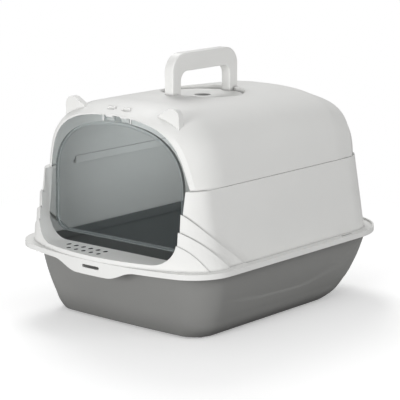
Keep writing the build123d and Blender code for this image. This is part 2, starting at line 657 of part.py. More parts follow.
# Grille: a disc with parallel slots that carries the filter and lets air through
with BuildPart() as filter_grille:
    with BuildSketch(Plane.XY.offset(FILTER_WELL_BOTTOM + 2)):
        Circle(FILTER_WELL_RADIUS)
        for i in range(-4, 5):
            slot_length = 2 * math.sqrt(GRILLE_OPEN_RADIUS**2 - (GRILLE_PITCH * i) ** 2)
            with Locations((GRILLE_PITCH * i, 0)):
                Rectangle(GRILLE_SLOT, slot_length, mode=Mode.SUBTRACT)
    extrude(amount=GRILLE_TOP - FILTER_WELL_BOTTOM - 2)

pieces = {
    "litter_tray": litter_tray,
    "hood_lower": hood_lower,
    "hood_upper": hood_upper,
    "swing_door": swing_door,
    "carry_handle": carry_handle,
    "filter_cover": filter_cover,
    "carbon_filter": carbon_filter,
    "filter_grille": filter_grille,
}
for piece_name, piece in pieces.items():
    piece.part.label = piece_name

os.makedirs("parts", exist_ok=True)
for body in [piece.part for piece in pieces.values()] + feet:
    export_step(body, f"parts/{body.label}.step")
    print(body.label, len(body.solids()), round(body.volume), body.bounding_box().size)
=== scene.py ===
"""Covered litter box: finishes for all its pieces, smooth surfaces for the tray, the hood, the handle, the swing door
and the filter cover, and the clips of the door's rod."""

import math

import bpy
import numpy as np
from mathutils import Matrix, Vector


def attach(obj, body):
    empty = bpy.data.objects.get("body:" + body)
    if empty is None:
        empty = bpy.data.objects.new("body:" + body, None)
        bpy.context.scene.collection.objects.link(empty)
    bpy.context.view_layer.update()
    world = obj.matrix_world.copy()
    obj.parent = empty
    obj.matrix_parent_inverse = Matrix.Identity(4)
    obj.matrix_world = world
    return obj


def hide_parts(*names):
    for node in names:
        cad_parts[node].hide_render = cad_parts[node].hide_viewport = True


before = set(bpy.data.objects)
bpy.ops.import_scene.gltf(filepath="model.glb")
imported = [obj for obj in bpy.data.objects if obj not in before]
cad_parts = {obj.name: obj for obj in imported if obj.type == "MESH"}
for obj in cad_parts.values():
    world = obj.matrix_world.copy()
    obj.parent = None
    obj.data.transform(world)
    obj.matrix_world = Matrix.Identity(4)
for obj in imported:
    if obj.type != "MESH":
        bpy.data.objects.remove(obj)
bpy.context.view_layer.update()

bl_info = {
    "name": "Covered Litter Box",
    "version": (1, 0, 0),
    "blender": (4, 5, 0),
    "location": "View3D > Sidebar > Litter Box",
    "description": "Builds the finishes and smooth surfaces of a covered litter box",
    "category": "Object",
}

MM = 0.001
JOIN_DISTANCE = 1e-5  # metres


# ---------------------------------------------------------------- meshes

def add_piece(name, points, faces, body, material, sharp_angle=30.0):
    """Puts points and faces into a new mesh, shades it smooth except across edges sharper than the angle, and lets
    it ride on the body."""
    mesh = bpy.data.meshes.new(name)
    mesh.from_pydata(points.tolist(), [], [list(face) for face in faces])
    mesh.validate()
    mesh.shade_smooth()
    mesh.set_sharp_from_angle(angle=math.radians(sharp_angle))
    mesh.materials.append(material)
    piece = bpy.data.objects.new(name, mesh)
    bpy.context.scene.collection.objects.link(piece)
    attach(piece, body)
    return piece


def joined_copy(node):
    """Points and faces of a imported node: corners that round to the same hundredth of a millimetre become one, and
    faces that lose a corner go."""
    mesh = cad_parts[node].data
    points = np.zeros(len(mesh.vertices) * 3)
    mesh.vertices.foreach_get("co", points)
    points = points.reshape(-1, 3)
    corners = np.zeros(len(mesh.polygons) * 3, np.int64)
    mesh.polygons.foreach_get("vertices", corners)
    keys = np.round(points / JOIN_DISTANCE).astype(np.int64)
    _, first, index = np.unique(keys, axis=0, return_index=True, return_inverse=True)
    faces = index.reshape(-1)[corners].reshape(-1, 3)
    a, b, c = faces.T
    return points[first], faces[(a != b) & (b != c) & (c != a)]


def smooth_copy(name, node, body, material, sharp_angle):
    """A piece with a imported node's own shape, its triangles joined so that curved walls shade smoothly."""
    points, faces = joined_copy(node)
    piece = add_piece(name, points, faces, body, material, sharp_angle)
    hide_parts(node)
    return piece


def grid_faces(rows, columns, start=0):
    """Quads between neighbouring rows of a grid whose columns close on themselves."""
    row = np.arange(rows - 1)[:, None] * columns
    column = np.arange(columns)[None, :]
    following = (column + 1) % columns
    quads = [row + column, row + following, row + columns + following, row + columns + column]
    return np.stack(quads, axis=-1).reshape(-1, 4) + start


# ---------------------------------------------------------------- tray surface

# Each outline of the tray: half width, front, rear, front corner radius, rear corner radius, in millimetres.
TRAY_LEVELS = [3.0, 10.0, 30.0, 60.0, 104.0]
TRAY_SIZES = [
    (146.4, -186.6, 160.6, 36.0, 54.0),
    (153.6, -189.1, 173.7, 39.0, 56.0),
    (162.0, -196.3, 199.9, 45.0, 61.0),
    (171.1, -207.0, 220.0, 54.0, 64.0),
    (177.0, -222.7, 244.0, 67.0, 68.0),
]
UPSTAND = (172.4, -218.4, 234.6, 63.0, 64.0)
SKIRT = (197.0, -256.0, 256.0, 70.0, 96.0)
SKIRT_BOW = 36.5
TRAY_BOW = 4.0
TRAY_WALL = 2.4
TRAY_TOP_Z = 104.0

# Rings of the lower edge, then of the outside wall.
EDGE_Z = [3.0, 3.0, 3.4]
EDGE_INSETS = [3.0, 0.9, 0.25]
WALL_START_Z = 4.2
WALL_ROWS = 140

# Rings round the flat rim, which stands inside the skirt.
RIM_INSET = 3.4
RIM_INSETS = [RIM_INSET + 0.4, RIM_INSET, RIM_INSET, RIM_INSET + 0.4, RIM_INSET + 12.0]
RIM_Z = [TRAY_TOP_Z, 104.4, 107.3, 107.7, 107.7]

# Rings up the upstand's outer face, over its top and down its inner face.
STAND_Z = [107.7, 113.6, 114.0, 114.0, 113.6, 100.4]
STAND_INSETS = [0.0, 0.0, 0.4, 1.6, 2.0, 2.0]
STAND_TOP_ROW = 3

# Rings down the inside, then of the floor.
FLOOR_Z = 5.6
INSIDE_LEVELS = [FLOOR_Z, *TRAY_LEVELS[1:]]
INSIDE_Z = (100.0, 6.2)
INSIDE_ROWS = 26
FLOOR_INSETS = [TRAY_WALL + 0.8, TRAY_WALL + 4.0]

INNER_ROW = len(EDGE_Z) + WALL_ROWS + len(RIM_Z) + STAND_TOP_ROW
UNDERSIDE_Z = 4.0  # above the underside, below the floor

# Height of the crease along the tray's sides at places from front to rear, and how its step fades out.
CREASE_Y = [-170.0, -120.0, -60.0, 40.0, 120.0, 170.0, 215.0]
CREASE_Z = [60.0, 56.0, 48.0, 44.0, 58.0, 79.0, 101.0]
CREASE_STEP = 0.7
CREASE_DECAY = 16.0
FADE_FRONT_Y, FADE_LENGTH = -150.0, 60.0
FADE_BELOW_TOP = 8.0
FADE_SIDE_X, FADE_WIDTH = 135.0, 20.0


def curve_through(at, known, values):
    """A smooth curve through known values: cubic pieces whose slopes at the known places are weighted averages of the
    slopes of the two neighbouring spans."""
    known = np.asarray(known, float)
    values = np.asarray(values, float)
    slopes = np.gradient(values, known, axis=0)
    span = np.clip(np.searchsorted(known, at, side="right") - 1, 0, len(known) - 2)
    width = (known[span + 1] - known[span])[:, None]
    t = ((at - known[span])[:, None]) / width
    low, high = values[span], values[span + 1]
    return (
        low * (1 + 2 * t) * (1 - t) ** 2
        + slopes[span] * width * t * (1 - t) ** 2
        + high * t**2 * (3 - 2 * t)
        + slopes[span + 1] * width * t**2 * (t - 1)
    )


def rounded_outline(half, front, rear, front_radius, rear_radius, bow, steps=20):
    """Closed outlines seen from above, one per row: a front that is an arc of a large circle, four round corners,
    straight sides and a straight rear. Each corner is an arc about its own centre, and the front corners touch the
    large circle from inside. Runs counter-clockwise from the middle of the front."""
    sizes = (half, front, rear, front_radius, rear_radius)
    half, front, rear, front_radius, rear_radius = [np.asarray(v, float)[:, None] for v in sizes]
    large = (half**2 + bow**2) / (2 * bow)
    middle = front + large
    corner_x = half - front_radius
    corner_y = middle - np.sqrt((large - front_radius) ** 2 - corner_x**2)
    side_end = rear - rear_radius
    start = np.arctan2(corner_y - middle, corner_x)
    t = np.linspace(0, 1, steps, endpoint=False)[None, :]
    front_turn = -np.pi / 2 + (start + np.pi / 2) * t
    corner_turn = start + (0 - start) * t
    rear_turn = np.pi / 2 * t
    right = [
        (large * np.cos(front_turn), middle + large * np.sin(front_turn)),
        (corner_x + front_radius * np.cos(corner_turn), corner_y + front_radius * np.sin(corner_turn)),
        (half + 0 * t, corner_y + (side_end - corner_y) * t),
        (half - rear_radius + rear_radius * np.cos(rear_turn), side_end + rear_radius * np.sin(rear_turn)),
        ((half - rear_radius) * (1 - t), rear + 0 * t),
    ]
    right = np.concatenate([np.stack(run, axis=-1) for run in right], axis=1)
    end = np.concatenate([np.zeros_like(rear), rear], axis=1)[:, None, :]
    left = right[:, 1:][:, ::-1] * np.array([-1.0, 1.0])
    return np.concatenate([right, end, left], axis=1)


def inset_sizes(sizes, insets):
    """Half width, front, rear and corner radii of outlines moved inward, one row of sizes for each inset."""
    return np.asarray(sizes, float) + np.asarray(insets, float)[:, None] * np.array([-1.0, 1.0, -1.0, -1.0, -1.0])


def crease_shift(x, y, z, relief):
    """How far the tray's sides move inward: the relief's depth times a smooth step across the crease line, dying away
    above it by an exponential, and fading out to nothing towards the front, the top and the middle."""
    crease = np.interp(y, CREASE_Y, CREASE_Z)
    step = 1 / (1 + np.exp(-(z - crease) / CREASE_STEP))
    decay = np.exp(-np.clip(z - crease, 0, None) / CREASE_DECAY)
    fade = (
        np.clip((y - FADE_FRONT_Y) / FADE_LENGTH, 0, 1)
        * np.clip((TRAY_TOP_Z - z) / FADE_BELOW_TOP, 0, 1)
        * np.clip((np.abs(x) - FADE_SIDE_X) / FADE_WIDTH, 0, 1)
    )
    return np.sign(x) * relief * (step * decay) * fade


def tray_surface(relief):
    """The tray as one closed surface of rings. Each ring is the rounded outline at a height, its sizes taken from a
    smooth curve through the tray's stations. The rings climb the outside, turn round the flat rim and the upstand, go
    down the inside and close on the floor. The sides of the outside are moved inward by the crease's shift. Gives the
    points, the faces and the number of the first face of the inside."""
    outside_z = np.concatenate([EDGE_Z, np.linspace(WALL_START_Z, TRAY_TOP_Z, WALL_ROWS)])
    inside_z = np.linspace(*INSIDE_Z, INSIDE_ROWS)
    floor_z = np.full(len(FLOOR_INSETS), FLOOR_Z)
    outside = curve_through(outside_z, TRAY_LEVELS, TRAY_SIZES)
    inside = curve_through(inside_z, INSIDE_LEVELS, TRAY_SIZES)
    floor = curve_through(floor_z, INSIDE_LEVELS, TRAY_SIZES)
    runs = [
        (outside, np.concatenate([EDGE_INSETS, np.zeros(WALL_ROWS)]), outside_z, TRAY_BOW),
        (SKIRT, RIM_INSETS, RIM_Z, SKIRT_BOW),
        (UPSTAND, STAND_INSETS, STAND_Z, TRAY_BOW),
        (inside, np.full(INSIDE_ROWS, TRAY_WALL), inside_z, TRAY_BOW),
        (floor, FLOOR_INSETS, floor_z, TRAY_BOW),
    ]
    parts = []
    for sizes, insets, heights, bow in runs:
        plan = rounded_outline(*inset_sizes(sizes, insets).T, bow)
        height = np.broadcast_to(np.asarray(heights)[:, None, None], plan.shape[:2] + (1,))
        parts.append(np.concatenate([plan, height], axis=2))
    grid = np.concatenate(parts, axis=0)
    skin = grid[: len(outside_z)]
    skin[..., 0] -= crease_shift(skin[..., 0], skin[..., 1], skin[..., 2], relief)

    rows, columns = grid.shape[:2]
    middles = [[0.0, 0.0, EDGE_Z[0]], [0.0, 0.0, FLOOR_Z]]
    points = np.concatenate([grid.reshape(-1, 3), middles]) * MM
    around = np.arange(columns)
    following = (around + 1) % columns
    last = (rows - 1) * columns
    under = np.stack([following, around, np.full(columns, rows * columns)], axis=1)
    ground = np.stack([last + around, last + following, np.full(columns, rows * columns + 1)], axis=1)
    faces = grid_faces(rows, columns).tolist() + under.tolist() + ground.tolist()
    return points, faces, INNER_ROW * columns


# ---------------------------------------------------------------- door and hood details

# The door, in millimetres: the sheet's middle, by which an edge faces in or out, the tab that reaches up to the rod,
# and the rim's front, which stands before the sheet.
DOOR_MIDDLE_Z = 222.0
DOOR_TAB_LOW_Z = 306.5
DOOR_TAB_HALF = 27.0
DOOR_RIM_FRONT_Y = -194.6
EDGE_TURN = 0.5  # a face of the door whose normal has less of y than this is an edge

CLIP_X, CLIP_WIDTH = 27.4, 2.4
CLIP_Y, CLIP_DEPTH = -194.6, 3.4
CLIP_LOW_Z, CLIP_HIGH_Z = 312.0, 324.2
CLIP_TAPER = 0.6  # both the length of each end's taper and the share that is left of the section there

# Ranges of the distance from the middle, of y and of z that hold the hooks of the door's rod.
HOOK_BOX = ((7.0, 22.0), (-198.5, -187.0), (306.0, 325.0))

# Each drain hole: middle in x and y, half its width, half its length.
SILL_HOLES = [(-80 + 15.2 * i, -219, 3.4, 4.6) for i in range(6)] + [(-64 + 15.4 * i, -236, 3.1, 4.1) for i in range(5)]
SILL_LOW_Z, SILL_HIGH_Z = 114.0, 119.3


def clip_surface():
    """Two upright bars, mirror images, one at each end of the door's tab. Each is an eight-sided section, a rectangle
    whose corners are cut back by a fifth of its width, drawn from the low end to the high end, tapered over a short
    length at both ends and capped."""
    cut = CLIP_WIDTH / 5
    wide, deep = CLIP_WIDTH / 2, CLIP_DEPTH / 2
    section = [
        (-wide + cut, -deep), (wide - cut, -deep), (wide, -deep + cut), (wide, deep - cut),
        (wide - cut, deep), (-wide + cut, deep), (-wide, deep - cut), (-wide, -deep + cut),
    ]
    levels = (
        (CLIP_LOW_Z, CLIP_TAPER), (CLIP_LOW_Z + CLIP_TAPER, 1.0),
        (CLIP_HIGH_Z - CLIP_TAPER, 1.0), (CLIP_HIGH_Z, CLIP_TAPER),
    )
    corners = len(section)
    points, faces = [], []
    for side in (-1, 1):
        start = len(points)
        for z, share in levels:
            points += [(side * CLIP_X + x * share, CLIP_Y + y * share, z) for x, y in section]
        top = start + corners * (len(levels) - 1)
        faces += grid_faces(len(levels), corners, start).tolist()
        faces += [[start + i for i in reversed(range(corners))], [top + i for i in range(corners)]]
    return np.array(points) * MM, faces


def in_sill_hole(x, y, z):
    """Whether a place in millimetres lies in one of the drain holes: inside its ellipse, between the sill's faces."""
    inside = any(((x - a) / u) ** 2 + ((y - b) / v) ** 2 < 1 for a, b, u, v in SILL_HOLES)
    return inside and SILL_LOW_Z < z < SILL_HIGH_Z


def in_hook_box(x, y, z):
    """Whether a place in millimetres lies on one of the two hooks, right or left."""
    return all(low < value < high for value, (low, high) in zip((abs(x), y, z), HOOK_BOX))


def give_faces(mesh, material, chosen):
    """Adds a second material to a mesh, for the faces whose centre, in millimetres, is chosen."""
    mesh.materials.append(material)
    for face in mesh.polygons:
        if chosen(*(face.center / MM)):
            face.material_index = 1


# ---------------------------------------------------------------- materials

def shader(name):
    """A new node material, its Principled shader, and functions that add and link nodes."""
    material = bpy.data.materials.new(name)
    material.use_nodes = True
    tree = material.node_tree
    principled = tree.nodes["Principled BSDF"]

    def node(kind, **values):
        made = tree.nodes.new(kind)
        for key, value in values.items():
            if hasattr(made, key):
                setattr(made, key, value)
            else:
                made.inputs[key.replace("_", " ")].default_value = value
        return made

    return material, principled, node, tree.links.new


def linear(colour):
    """Linear light values of a screen colour given as three numbers from 0 to 255."""
    c = np.asarray(colour, float) / 255
    return tuple(np.where(c <= 0.04045, c / 12.92, ((c + 0.055) / 1.055) ** 2.4)) + (1.0,)


def tone_ramp(node, colour, low, high):
    """A ramp from a low to a high multiple of a screen colour."""
    base = np.array(linear(colour))[:3]
    ramp = node("ShaderNodeValToRGB")
    for element, share in zip(ramp.color_ramp.elements, (low, high)):
        element.color = tuple(np.minimum(base * share, 1)) + (1,)
    return ramp


def moulded_plastic(
    name, colour, roughness, tone=0.03, grain=0.05, grain_size=900.0, specular=0.4, reach=0.007, depth=0.45
):
    """Injection moulded plastic: broad soft patches of a slightly different tone, a fine spark-eroded grain in the
    bump, and gloss that varies a little where cloths have rubbed it. Places that other surfaces close in within the
    reach, in metres, get painted shade: their colour darkens, down to the share named depth where they are closed in
    most."""
    material, principled, node, link = shader(name)
    place = node("ShaderNodeTexCoord")
    patches = node("ShaderNodeTexNoise", Scale=9.0, Detail=3.0, Roughness=0.55)
    link(place.outputs["Object"], patches.inputs["Vector"])
    ramp = tone_ramp(node, colour, 1 - tone, 1 + tone)
    ramp.color_ramp.elements[0].position = 0.3
    ramp.color_ramp.elements[1].position = 0.7
    link(patches.outputs["Fac"], ramp.inputs["Fac"])
    # painted shade: the colour is multiplied down where other surfaces close in
    corners = node("ShaderNodeAmbientOcclusion", Distance=reach, samples=8)
    painted_shade_level = node("ShaderNodeMapRange", From_Min=0.25, From_Max=0.8, To_Min=depth, To_Max=1.0)
    shade = node("ShaderNodeMix", data_type="RGBA", blend_type="MULTIPLY")
    shade.inputs[0].default_value = 1.0
    link(corners.outputs["AO"], painted_shade_level.inputs["Value"])
    link(ramp.outputs["Color"], shade.inputs[6])
    link(painted_shade_level.outputs["Result"], shade.inputs[7])
    link(shade.outputs[2], principled.inputs["Base Color"])
    rubbed = node("ShaderNodeTexNoise", Scale=26.0, Detail=4.0)
    link(place.outputs["Object"], rubbed.inputs["Vector"])
    gloss = node("ShaderNodeMapRange", From_Min=0.3, From_Max=0.7, To_Min=roughness - 0.05, To_Max=roughness + 0.06)
    link(rubbed.outputs["Fac"], gloss.inputs["Value"])
    link(gloss.outputs["Result"], principled.inputs["Roughness"])
    fine = node("ShaderNodeTexNoise", Scale=grain_size, Detail=2.0, Roughness=0.6)
    link(place.outputs["Object"], fine.inputs["Vector"])
    bump = node("ShaderNodeBump", Strength=grain, Distance=0.0003)
    link(fine.outputs["Fac"], bump.inputs["Height"])
    link(bump.outputs["Normal"], principled.inputs["Normal"])
    principled.inputs["Specular IOR Level"].default_value = specular
    return material


def tinted_acrylic(name, colour, roughness, density):
    """Clear smoke tinted sheet: each face holds back a share of the light and lends its tint, so places seen through
    several faces look darker. Fine hairline scuffs vary the gloss."""
    material, principled, node, link = shader(name)
    place = node("ShaderNodeTexCoord")
    haze = node("ShaderNodeTexNoise", Scale=14.0, Detail=3.0)
    link(place.outputs["Object"], haze.inputs["Vector"])
    ramp = tone_ramp(node, colour, 0.94, 1.06)
    link(haze.outputs["Fac"], ramp.inputs["Fac"])
    link(ramp.outputs["Color"], principled.inputs["Base Color"])
    scuffs = node("ShaderNodeTexNoise", Scale=420.0, Detail=3.0, Distortion=1.5)
    link(place.outputs["Object"], scuffs.inputs["Vector"])
    gloss = node("ShaderNodeMapRange", From_Min=0.5, From_Max=0.75, To_Min=roughness, To_Max=roughness + 0.06)
    link(scuffs.outputs["Fac"], gloss.inputs["Value"])
    link(gloss.outputs["Result"], principled.inputs["Roughness"])
    principled.inputs["Specular IOR Level"].default_value = 1.0
    principled.inputs["Alpha"].default_value = density
    return material


def carbon_foam(name, colour):
    """Open foam loaded with carbon: round dark cells with paler walls, rough all over."""
    material, principled, node, link = shader(name)
    place = node("ShaderNodeTexCoord")
    cells = node("ShaderNodeTexVoronoi", Scale=620.0)
    link(place.outputs["Object"], cells.inputs["Vector"])
    ramp = tone_ramp(node, colour, 0.35, 1.4)
    link(cells.outputs["Distance"], ramp.inputs["Fac"])
    link(ramp.outputs["Color"], principled.inputs["Base Color"])
    bump = node("ShaderNodeBump", Strength=0.7, Distance=0.0012)
    link(cells.outputs["Distance"], bump.inputs["Height"])
    link(bump.outputs["Normal"], principled.inputs["Normal"])
    principled.inputs["Roughness"].default_value = 0.95
    return material


def dress(node, material):
    """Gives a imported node, kept as it is, a new finish."""
    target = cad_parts[node]
    target.data.materials.clear()
    target.data.materials.append(material)


# ---------------------------------------------------------------- stage

FLOOR_HALF = 6.0
FLOOR_TO_LIGHT = (0.45, 0.45, 0.45, 1)  # the floor as the light that it throws back meets it
FLOOR_TO_CAMERA = (0.88, 0.88, 0.88, 1)
BACKDROP_START, BACKDROP_END = 0.36, 0.85  # metres from the box's middle
WHITE = (1.0, 1.0, 1.0, 1)

# Each light round the box: name, place and width in metres, and the setting with its power.
LIGHTS = (
    ("top_light", (-1.25, 1.0, 2.0), 1.0, "top_power"),
    ("right_light", (2.3, 0.1, 0.95), 1.4, "right_power"),
    ("front_light", (0.35, -2.7, 0.55), 0.9, "front_power"),
)
CABIN_PLACE, CABIN_AIM = (0.09, 0.02, 0.25), (-0.16, 0.0, 0.3)
CABIN_SIZE = 0.08
CABIN_COLOUR = (0.93, 1.0, 1.02)

SENSOR_WIDTH = 36.0
PICTURE_WIDTH = 400
SHIFT_RIGHT, SHIFT_UP = -2.6, -16.58  # pixels of the picture
CLIP_NEAR, CLIP_FAR = 0.05, 60


def floor_material(lift):
    """Pale paper for the floor: darker to the light that it throws back than to the camera, lifted a little for the
    camera, and turning into the white backdrop away from the box, where the camera sees it."""
    material = bpy.data.materials.new("floor_paper")
    material.use_nodes = True
    nodes, link = material.node_tree.nodes, material.node_tree.links.new
    nodes.clear()
    output = nodes.new("ShaderNodeOutputMaterial")
    rays = nodes.new("ShaderNodeLightPath")
    seen = rays.outputs["Is Camera Ray"]

    shade = nodes.new("ShaderNodeMix")
    shade.data_type = "RGBA"
    shade.inputs[6].default_value = FLOOR_TO_LIGHT
    shade.inputs[7].default_value = FLOOR_TO_CAMERA
    paper = nodes.new("ShaderNodeBsdfDiffuse")
    strength = nodes.new("ShaderNodeMath")
    strength.operation = "MULTIPLY"
    strength.inputs[1].default_value = lift
    glow = nodes.new("ShaderNodeEmission")
    both = nodes.new("ShaderNodeAddShader")
    link(seen, shade.inputs[0])
    link(shade.outputs[2], paper.inputs["Color"])
    link(seen, strength.inputs[0])
    link(strength.outputs[0], glow.inputs["Strength"])
    link(paper.outputs[0], both.inputs[0])
    link(glow.outputs[0], both.inputs[1])

    place = nodes.new("ShaderNodeTexCoord")
    reach = nodes.new("ShaderNodeVectorMath")
    reach.operation = "LENGTH"
    edge = nodes.new("ShaderNodeMapRange")
    edge.interpolation_type = "SMOOTHSTEP"
    edge.inputs["From Min"].default_value = BACKDROP_START
    edge.inputs["From Max"].default_value = BACKDROP_END
    apart = nodes.new("ShaderNodeMath")
    apart.operation = "MULTIPLY"
    white = nodes.new("ShaderNodeEmission")
    backdrop = nodes.new("ShaderNodeMixShader")
    link(place.outputs["Object"], reach.inputs[0])
    link(reach.outputs["Value"], edge.inputs["Value"])
    link(edge.outputs["Result"], apart.inputs[0])
    link(seen, apart.inputs[1])
    link(apart.outputs[0], backdrop.inputs["Fac"])
    link(both.outputs[0], backdrop.inputs[1])
    link(white.outputs[0], backdrop.inputs[2])
    link(backdrop.outputs[0], output.inputs["Surface"])
    return material


def lay_floor(lift):
    """A large flat square under the box."""
    mesh = bpy.data.meshes.new("floor")
    half = FLOOR_HALF
    mesh.from_pydata([(-half, -half, 0), (half, -half, 0), (half, half, 0), (-half, half, 0)], [], [(0, 1, 2, 3)])
    mesh.materials.append(floor_material(lift))
    floor = bpy.data.objects.new("floor", mesh)
    bpy.context.scene.collection.objects.link(floor)


def light_world(strength):
    """Even light from all round, plain white to the camera."""
    world = bpy.data.worlds.new("studio")
    bpy.context.scene.world = world
    world.use_nodes = True
    nodes, link = world.node_tree.nodes, world.node_tree.links.new
    nodes.clear()
    output = nodes.new("ShaderNodeOutputWorld")
    mix = nodes.new("ShaderNodeMixShader")
    rays = nodes.new("ShaderNodeLightPath")
    link(rays.outputs["Is Camera Ray"], mix.inputs["Fac"])
    for socket, level in ((1, strength), (2, 1.0)):
        background = nodes.new("ShaderNodeBackground")
        background.inputs["Color"].default_value = WHITE
        background.inputs["Strength"].default_value = level
        link(background.outputs[0], mix.inputs[socket])
    link(mix.outputs[0], output.inputs["Surface"])


def area_light(name, place, aim, size, power):
    """A square soft light at a place, turned towards its aim and unseen by the camera."""
    lamp = bpy.data.lights.new(name, "AREA")
    lamp.shape = "SQUARE"
    lamp.size = size
    lamp.energy = power
    light = bpy.data.objects.new(name, lamp)
    light.visible_camera = False
    light.location = place
    light.rotation_euler = (Vector(aim) - Vector(place)).to_track_quat("-Z", "Y").to_euler()
    bpy.context.scene.collection.objects.link(light)
    return light


def place_camera(azimuth, elevation, distance, aim, lens):
    """A camera on a sphere round its aim, whose picture is shifted by a few pixels."""
    right = Vector((math.cos(azimuth), math.sin(azimuth), 0))
    forward = Vector((
        -math.sin(azimuth) * math.cos(elevation),
        math.cos(azimuth) * math.cos(elevation),
        -math.sin(elevation),
    ))
    up = right.cross(forward)
    camera_data = bpy.data.cameras.new("camera")
    camera_data.lens = lens
    camera_data.sensor_width = SENSOR_WIDTH
    camera_data.shift_x = SHIFT_RIGHT / PICTURE_WIDTH
    camera_data.shift_y = SHIFT_UP / PICTURE_WIDTH
    camera_data.clip_start = CLIP_NEAR
    camera_data.clip_end = CLIP_FAR
    camera = bpy.data.objects.new("camera", camera_data)
    turn = Matrix((right, up, -forward)).transposed()
    camera.matrix_world = Matrix.Translation(Vector(aim) - forward * distance) @ turn.to_4x4()
    bpy.context.scene.collection.objects.link(camera)
    bpy.context.scene.camera = camera


# ---------------------------------------------------------------- settings

class TraySettings(bpy.types.PropertyGroup):
    """Finish of the tray and its feet"""
    colour: bpy.props.FloatVectorProperty(
        name="Colour", description="Screen colour of the tray, 0 to 255",
        size=3, default=(141, 141, 139), min=0, max=255)
    roughness: bpy.props.FloatProperty(
        name="Roughness", description="How matt the tray is",
        default=0.42, min=0, max=1, subtype="FACTOR")
    relief: bpy.props.FloatProperty(
        name="Relief", description="Depth in millimetres of the crease along each side",
        default=1.7, min=0, max=4)
    # a darker colour for the tray's inside: painted shade
    inside_shade_colour: bpy.props.FloatVectorProperty(
        name="Inside colour", description="Screen colour of the tray's inside, 0 to 255",
        size=3, default=(105, 106, 105), min=0, max=255)
    foot_colour: bpy.props.FloatVectorProperty(
        name="Foot colour", description="Screen colour of the feet, 0 to 255",
        size=3, default=(52, 51, 50), min=0, max=255)


class HoodSettings(bpy.types.PropertyGroup):
    """Finish of the hood and its carry handle"""
    colour: bpy.props.FloatVectorProperty(
        name="Colour", description="Screen colour of the hood, 0 to 255",
        size=3, default=(229, 229, 227), min=0, max=255)
    roughness: bpy.props.FloatProperty(
        name="Roughness", description="How matt the hood is",
        default=0.5, min=0, max=1, subtype="FACTOR")
    # a paler colour for the hooks: painted highlight
    hook_highlight_colour: bpy.props.FloatVectorProperty(
        name="Hook colour", description="Screen colour of the hooks, 0 to 255",
        size=3, default=(248, 248, 247), min=0, max=255)
    grain: bpy.props.FloatProperty(
        name="Grain", description="Strength of the fine surface grain",
        default=0.05, min=0, max=1, subtype="FACTOR")


class DoorSettings(bpy.types.PropertyGroup):
    """Finish of the swing door"""
    colour: bpy.props.FloatVectorProperty(
        name="Tint", description="Screen colour of the tinted sheet, 0 to 255",
        size=3, default=(34, 46, 50), min=0, max=255)
    roughness: bpy.props.FloatProperty(
        name="Roughness", description="How hazy the sheet is",
        default=0.04, min=0, max=1, subtype="FACTOR")
    dark_edge: bpy.props.FloatVectorProperty(
        name="Outer edge", description="Screen colour of the rim's outer edge, 0 to 255",
        size=3, default=(34, 40, 42), min=0, max=255)
    pale_edge_highlight: bpy.props.FloatVectorProperty(
        name="Inner edge", description="Screen colour of the edges that catch the light, 0 to 255",
        size=3, default=(214, 222, 222), min=0, max=255)
    rim_colour: bpy.props.FloatVectorProperty(
        name="Rim", description="Screen colour of the rim's front, 0 to 255",
        size=3, default=(150, 160, 162), min=0, max=255)
    clip_colour: bpy.props.FloatVectorProperty(
        name="Clips", description="Screen colour of the rod's clips, 0 to 255",
        size=3, default=(244, 244, 243), min=0, max=255)
    density: bpy.props.FloatProperty(
        name="Density", description="Share of the light that each face holds back",
        default=0.2, min=0, max=1, subtype="FACTOR")


class FilterSettings(bpy.types.PropertyGroup):
    """Finish of the filter, its cover and its grille"""
    colour: bpy.props.FloatVectorProperty(
        name="Cover colour", description="Screen colour of the cover and the grille, 0 to 255",
        size=3, default=(231, 231, 229), min=0, max=255)
    foam_colour: bpy.props.FloatVectorProperty(
        name="Foam colour", description="Screen colour of the carbon foam, 0 to 255",
        size=3, default=(38, 38, 40), min=0, max=255)


class StageSettings(bpy.types.PropertyGroup):
    """Floor, light and camera"""
    azimuth: bpy.props.FloatProperty(
        name="Azimuth", description="Camera angle round the box",
        default=math.radians(40.35), subtype="ANGLE")
    elevation: bpy.props.FloatProperty(
        name="Elevation", description="Camera angle above the horizon",
        default=math.radians(11.41), subtype="ANGLE")
    distance: bpy.props.FloatProperty(
        name="Distance", description="Camera distance from the aim point",
        default=2.7135, unit="LENGTH")
    aim_height: bpy.props.FloatProperty(
        name="Aim height", description="Height of the point the camera looks at",
        default=0.19, unit="LENGTH")
    lens: bpy.props.FloatProperty(
        name="Lens", description="Focal length in millimetres",
        default=154.93)
    top_power: bpy.props.FloatProperty(
        name="Top light", description="Power of the large light above",
        default=26.0, unit="POWER")
    right_power: bpy.props.FloatProperty(
        name="Right light", description="Power of the high light on the right",
        default=17.0, unit="POWER")
    front_power: bpy.props.FloatProperty(
        name="Front light", description="Power of the low light in front",
        default=44.0, unit="POWER")
    cabin_power: bpy.props.FloatProperty(
        name="Cabin light", description="Power of the small light inside the hood",
        default=0.3, unit="POWER")
    ambient: bpy.props.FloatProperty(
        name="Ambient", description="Strength of the light from all round",
        default=0.4, min=0)
    floor_lift: bpy.props.FloatProperty(
        name="Floor lift", description="Extra brightness of the floor for the camera",
        default=0.3, min=0)


# ---------------------------------------------------------------- operators

